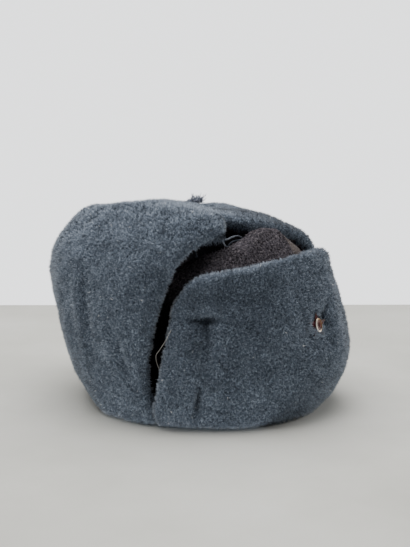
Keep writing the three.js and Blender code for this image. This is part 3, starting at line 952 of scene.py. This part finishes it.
for corner in dome:
    dent = math.exp(-((corner.co.x / DENT_WIDE) ** 2) - (corner.co.y / DENT_HIGH) ** 2)
    corner.co.z -= max(corner.co.z - STAR_EDGE, 0) * DENT_SHARE * dent
for face in added(star.faces, before):
    face.material_index = 3
    face.smooth = True
# painted highlight and shade: the gilt ring is pale on one side and brown on the other
layer = star.verts.layers.float.new("rubbed")
for corner in star.verts:
    across, up = corner.co.x / RING_WIDE, corner.co.y / RING_HIGH
    corner[layer] = 0.5 - 0.5 * (across * GLINT_ACROSS + up * GLINT_UP)
bmesh.ops.rotate(star, verts=star.verts, matrix=BADGE_TURN)
bmesh.ops.translate(star, verts=star.verts, vec=BADGE_MIDDLE)
badge = shown("star_badge", star, brass, enamel, pale_gilt, brown_enamel)
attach(badge, "root")
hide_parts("badge")


# The pile round the badge: the same pile as on the rest of the front flap. It is longer
# here, because the badge has kept it from wear, and it leans in over the badge's arms.
AROUND_COUNT = 1000
AROUND_FAR = 10.5 * MM
AROUND_LENGTHS = (2.6, 4.2)  # in millimetres
AROUND_RADII = (0.2, 0.34)
AROUND_TONE = 0.9
LEAN_IN = 0.5


def round_badge(middles, facing):
    """The ring of pile that touches the badge's arms."""
    return clear_of_badge(middles, facing) * (np.linalg.norm(middles - BADGE_MIDDLE, axis=1) < AROUND_FAR)


dice = np.random.default_rng(31)
roots, facing = scattered(front_flap.data, AROUND_COUNT, round_badge, dice)
lean = facing + unit(BADGE_MIDDLE - roots) * LEAN_IN
around = spikes(
    "pile_round_badge",
    roots,
    facing,
    lean + dice.normal(0, LEAN, lean.shape),
    dice.uniform(*AROUND_LENGTHS, AROUND_COUNT) * MM,
    dice.uniform(*AROUND_RADII, AROUND_COUNT) * MM,
    dice.random(AROUND_COUNT) * AROUND_TONE,
    pile,
)
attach(around, "root")


# The ties: thin round cords of three twisted cotton strands, one from each ear flap. They
# are tucked into the hollow behind the crown's front, where one shows as a small loop.
RIGHT_TIE = [
    [-34.9, -58.7, 135.9],
    [-27, -55, 135.4],
    [-20, -51.5, 135.8],
    [-13.6, -49, 136],
    [-8.3, -47.5, 135.8],
    [-3.9, -46.6, 134.6],
    [-0.4, -45, 132.9],
    [0.5, -42.6, 131.8],
    [-1.3, -40.3, 131.4],
    [-4.6, -37.2, 129.8],
    [-7, -32.5, 122.5],
    [-8.5, -27.5, 114.5],
    [-10, -21, 107.2],
    [-11, -14, 105.8],
    [-12, -8, 111],
    [-13, -4.2, 123],
    [-13, -1.8, 138],
    [-13, -0.6, 150],
    [-13, -0.5, 156],
    [-12, -0.7, 160],
    [-10, -2.5, 161.4],
]
LEFT_TIE = [
    [-7.5, -29.5, 139.7],
    [-8.5, -30.5, 136.5],
    [-9.8, -32.5, 132],
    [-12, -36, 129.3],
    [-12.9, -39, 127.5],
    [-10.8, -41, 126.3],
    [-7, -40.5, 124.4],
    [-2, -38.8, 122],
    [3, -36.3, 120.6],
    [8, -33.5, 119.2],
]
TIE_STEP = 0.7 * MM
STRANDS = 3
STRAND_RADIUS = 0.36 * MM
STRAND_OFFSET = 0.36 * MM
TWIST_LENGTH = 4.2 * MM
STRETCH_STEPS = 24
THREAD_FIBRE = 0.5 * MM
THREAD_RELIEF = 0.15 * MM


def smooth_line(points, step):
    """The centripetal curve through points in millimetres, as even steps in the frame."""
    points = in_frame(points)
    ends = [2 * points[0] - points[1], *points, 2 * points[-1] - points[-2]]
    line = []
    share = np.linspace(0, 1, STRETCH_STEPS, endpoint=False)[:, None]
    for stretch in zip(ends, ends[1:], ends[2:], ends[3:]):
        before, first, second, after = stretch
        gaps = [max(np.linalg.norm(b - a), TINY) ** 0.5 for a, b in zip(stretch, stretch[1:])]
        rise = (second - first) / gaps[1]
        leaving = ((first - before) / gaps[0] - (second - before) / (gaps[0] + gaps[1]) + rise) * gaps[1]
        coming = (rise - (after - first) / (gaps[1] + gaps[2]) + (after - second) / gaps[2]) * gaps[1]
        curve = first + leaving * share + (3 * (second - first) - 2 * leaving - coming) * share**2
        line.extend(curve + (2 * (first - second) + leaving + coming) * share**3)
    line = np.array([*line, points[-1]])
    run = np.concatenate([[0], np.cumsum(np.linalg.norm(np.diff(line, axis=0), axis=1))])
    even = np.linspace(0, run[-1], max(int(run[-1] / step), 2) + 1)
    return np.stack([np.interp(even, run, line[:, i]) for i in range(3)], 1), run[-1]


def tubes(name, lines, radius, finish, taper=1.0):
    """One mesh of closed round threads along lines, each thinning to taper at its end."""
    curve = bpy.data.curves.new(name, "CURVE")
    curve.dimensions = "3D"
    curve.bevel_depth = radius
    curve.bevel_resolution = 1
    curve.use_fill_caps = True
    for line in lines:
        spline = curve.splines.new("POLY")
        spline.points.add(len(line) - 1)
        spline.points.foreach_set("co", np.column_stack([line, np.ones(len(line))]).ravel())
        spline.points.foreach_set("radius", np.linspace(1, taper, len(line)))
        spline.use_smooth = True
    thread = bpy.data.objects.new(name, curve)
    bpy.context.scene.collection.objects.link(thread)
    mesh = bpy.data.meshes.new_from_object(evaluated(thread))
    bpy.data.objects.remove(thread)
    mesh.materials.clear()
    return shown(name, mesh, finish)


def twisted(line, length):
    """Strands that wind round a line."""
    ahead = unit(np.gradient(line, axis=0))
    side = np.zeros_like(line)
    aslant = [0.3, 0.2, 0.9]
    side[0] = np.cross(ahead[0], aslant)
    for i in range(1, len(line)):
        side[i] = side[i - 1] - ahead[i] * (side[i - 1] @ ahead[i])
    side = unit(side)
    other = np.cross(ahead, side)
    turn = 2 * math.pi * np.linspace(0, length / TWIST_LENGTH, len(line))
    strands = []
    for i in range(STRANDS):
        angle = (turn + 2 * math.pi * i / STRANDS)[:, None]
        strands.append(line + (side * np.cos(angle) + other * np.sin(angle)) * STRAND_OFFSET)
    return strands


def thread_finish(name, dark, light):
    """Cotton thread: fine fibres of uneven colour."""
    finish = Finish(name, roughness=0.85, Sheen_Weight=0.2)
    fibres = finish.noise(THREAD_FIBRE, detail=3, roughness=0.7)
    finish.feed("Base Color", finish.ramp(fibres, (0.38, dark), (0.62, light)))
    finish.bump(fibres, THREAD_RELIEF)
    return finish


cotton = thread_finish("tie cotton", (0.03, 0.038, 0.055), (0.13, 0.155, 0.2))
ties = {}
for name, route in {"right_tie": RIGHT_TIE, "left_tie": LEFT_TIE}.items():
    line, length = smooth_line(route, TIE_STEP)
    cord = tubes(name + "_cord", twisted(line, length), STRAND_RADIUS, cotton)
    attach(cord, "root")
    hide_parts(name)
    ties[name] = (cord, line, length)


# The frayed end: the tie has come undone at its end, on top of the hat, into a small tuft
# of loose threads that lies over the edge between the two ears.
FRAY_COUNT = 170
FRAY_START = np.array([-10.0, -2.8, 160.2])
FRAY_FROM, FRAY_TO = -8.5, 3.5  # millimetres along the tuft from its start
FRAY_LOW, FRAY_HIGH = 1.8, 7.0  # length of its threads at its two ends
FRAY_RISE = 1.4  # the threads reach their full length before the tuft's end
FRAY_LENGTHS = (0.45, 1.1)  # shares of that length
FRAY_LEAN = (0.4, 0.45)  # mean and spread
FRAY_UPRIGHT = (0.5, 1.0)
FRAY_TANGLE = 0.3
FRAY_SCATTER = (0.8, 0.8, 0.4)
FRAY_POINTS = 7  # along a thread
FRAY_WAVE = 0.25
ALONG = np.array([0.719, -0.695, 0.0])  # along the tuft, towards the wearer's left front
UPWARD = np.array([0.0, 0.0, 1.0])
THREAD_RADIUS = 0.27 * MM
dice = np.random.default_rng(47)
threads = []
for aside in dice.uniform(FRAY_FROM, FRAY_TO, FRAY_COUNT):
    share_along = (aside - FRAY_FROM) / (FRAY_TO - FRAY_FROM)
    tall = FRAY_LOW + (FRAY_HIGH - FRAY_LOW) * min(share_along * FRAY_RISE, 1)
    way = ALONG * dice.normal(*FRAY_LEAN) + UPWARD * dice.uniform(*FRAY_UPRIGHT)
    way += dice.normal(0, FRAY_TANGLE, 3)
    start = FRAY_START + ALONG * aside + dice.normal(0, FRAY_SCATTER)
    tip = start + way / np.linalg.norm(way) * tall * dice.uniform(*FRAY_LENGTHS)
    waves = dice.normal(0, FRAY_WAVE, (FRAY_POINTS, 3))
    threads.append(in_frame(start + (tip - start) * np.linspace(0, 1, FRAY_POINTS)[:, None] + waves))
frayed_cotton = thread_finish("frayed cotton", (0.18, 0.2, 0.26), (0.46, 0.49, 0.58))
frayed = tubes("frayed_threads", threads, THREAD_RADIUS, frayed_cotton, taper=0.5)
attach(frayed, "root")
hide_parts("frayed_end")

cord, line, length = ties["right_tie"]
cord, line, length = ties["left_tie"]


# Loose fibres: a long pale one that hangs across the slit between the flaps, and the
# short ones that have worked out of the near ear's lower edge.
LONG_FIBRE = [
    [-89.8, -59.6, 75.2],
    [-90.6, -54.6, 66.8],
    [-92.2, -49.4, 58.8],
    [-92.9, -46.6, 55.0],
    [-92.8, -46.8, 50.0],
    [-91.6, -48.4, 44.6],
]
FIBRE_STEP = 2 * MM
FIBRE_RADIUS = 0.2 * MM
fibre_line, _ = smooth_line(LONG_FIBRE, FIBRE_STEP)
pale_fibre = thread_finish("pale fibre", (0.3, 0.28, 0.25), (0.62, 0.6, 0.56))
fibre = tubes("long_fibre", [fibre_line], FIBRE_RADIUS, pale_fibre, taper=0.6)
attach(fibre, "root")

FRINGE_COUNT = 240
FRINGE_FROM, FRINGE_TO = in_frame([[-56, -57, 137.5], [-36, -60, 139]])
FRINGE_SPREAD = 0.9  # in millimetres, as the next two
FRINGE_LENGTHS = (2.5, 6.5)
FRINGE_RADII = (0.16, 0.26)
FRINGE_FACING = (-0.4, -0.6, -0.5)
FRINGE_HANGS = (0.1, 0.1, -1)
FRINGE_TONE = 0.45
dice = np.random.default_rng(53)
roots = FRINGE_FROM + (FRINGE_TO - FRINGE_FROM) * dice.random((FRINGE_COUNT, 1))
fringe = spikes(
    "fringe_under_ear",
    roots + dice.normal(0, FRINGE_SPREAD, (FRINGE_COUNT, 3)) * MM,
    np.tile(FRINGE_FACING, (FRINGE_COUNT, 1)),
    dice.normal(0, LEAN, (FRINGE_COUNT, 3)) + FRINGE_HANGS,
    dice.uniform(*FRINGE_LENGTHS, FRINGE_COUNT) * MM,
    dice.uniform(*FRINGE_RADII, FRINGE_COUNT) * MM,
    dice.random(FRINGE_COUNT) * FRINGE_TONE,
    pile,
)
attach(fringe, "root")


# The floor and the light: a plain pale table top under soft light from above and from
# both sides, and the camera at the photograph's place in front of the hat's right side.
TABLE_FAR = 0.41
TABLE_WIDE = 1.8
TABLE_THICK = 0.02
TABLE_CLOUDS = 0.25
TABLE_DARK = (0.475, 0.475, 0.44)
TABLE_LIGHT = (0.585, 0.585, 0.555)
CAMERA_TURN = math.radians(-44)
CAMERA_RISE = math.radians(15.5)
CAMERA_AWAY = 0.795
FOCAL_PIXELS = 937.5
PHOTO_WIDE, PHOTO_HIGH = 410, 547
FOOT_X, FOOT_Y = 199, 391.5  # pixel of the frame's origin
SENSOR = 36
SEEN_TO = 20
BACKDROP_COLOR = (0.97, 0.985, 1.0, 1)
BACKDROP_BRIGHTNESS = 2.2
AIR_BRIGHTNESS = 0.09
LAMP_COLOR = (1.0, 0.99, 0.97)

pale_top = Finish("pale table top", roughness=0.5)
clouds = pale_top.noise(TABLE_CLOUDS, detail=5, roughness=0.6)
pale_top.feed("Base Color", pale_top.ramp(clouds, (0.35, TABLE_DARK), (0.65, TABLE_LIGHT)))
slab = bmesh.new()
bmesh.ops.create_cube(slab, size=1)
bmesh.ops.scale(slab, verts=slab.verts, vec=(TABLE_WIDE, 2 * TABLE_FAR, TABLE_THICK))
bmesh.ops.translate(slab, verts=slab.verts, vec=(0, 0, -TABLE_THICK / 2))
bmesh.ops.rotate(slab, verts=slab.verts, matrix=Matrix.Rotation(CAMERA_TURN, 3, "Z"))
table = shown("table_top", slab, pale_top)


def looking(turn, rise):
    """The way from the hat to a viewer at that turn and rise."""
    return Vector((math.sin(turn) * math.cos(rise), -math.cos(turn) * math.cos(rise), math.sin(rise)))


camera = bpy.data.objects.new("camera", bpy.data.cameras.new("camera"))
bpy.context.scene.collection.objects.link(camera)
bpy.context.scene.camera = camera
camera.data.sensor_width = SENSOR
camera.data.lens = FOCAL_PIXELS / PHOTO_HIGH * SENSOR
camera.data.clip_end = SEEN_TO
pitch = math.atan((FOOT_Y - PHOTO_HIGH / 2) / FOCAL_PIXELS)
yaw = math.atan((FOOT_X - PHOTO_WIDE / 2) / FOCAL_PIXELS * math.cos(pitch))
axis_rise = CAMERA_RISE - pitch
axis_turn = CAMERA_TURN + yaw / math.cos(axis_rise)
camera.location = looking(CAMERA_TURN, CAMERA_RISE) * CAMERA_AWAY
camera.rotation_euler = (-looking(axis_turn, axis_rise)).to_track_quat("-Z", "Y").to_euler()

world = bpy.data.worlds.new("studio")
bpy.context.scene.world = world
world.use_nodes = True
background = world.node_tree.nodes["Background"]
background.inputs["Color"].default_value = BACKDROP_COLOR
seen = world.node_tree.nodes.new("ShaderNodeLightPath")
strength = world.node_tree.nodes.new("ShaderNodeMix")
strength.inputs["A"].default_value = AIR_BRIGHTNESS
strength.inputs["B"].default_value = BACKDROP_BRIGHTNESS
world.node_tree.links.new(seen.outputs["Is Camera Ray"], strength.inputs["Factor"])
world.node_tree.links.new(strength.outputs["Result"], background.inputs["Strength"])


def lamp(name, turn, rise, away, size, watts, upright=False):
    """A soft square light that looks at the hat, or straight up from where it lies."""
    light = bpy.data.lights.new(name, "AREA")
    light.size = size
    light.energy = watts
    light.color = LAMP_COLOR
    made = bpy.data.objects.new(name, light)
    made.location = looking(math.radians(turn), math.radians(rise)) * away
    aim = Vector((0, 0, 1)) if upright else -made.location
    made.rotation_euler = aim.to_track_quat("-Z", "Y").to_euler()
    made.visible_camera = False
    bpy.context.scene.collection.objects.link(made)


lamp("light from above", turn=160, rise=79, away=1.5, size=1.7, watts=54)
lamp("light from behind", turn=-130, rise=20, away=1.6, size=1.1, watts=12)
lamp("light from the left", turn=54, rise=20, away=1.6, size=1.1, watts=17)
lamp("glow of the table in front", turn=-48, rise=0.05, away=0.62, size=0.85, watts=2.6, upright=True)
lamp("glow of the table behind", turn=136, rise=0.05, away=0.62, size=0.85, watts=2.0, upright=True)
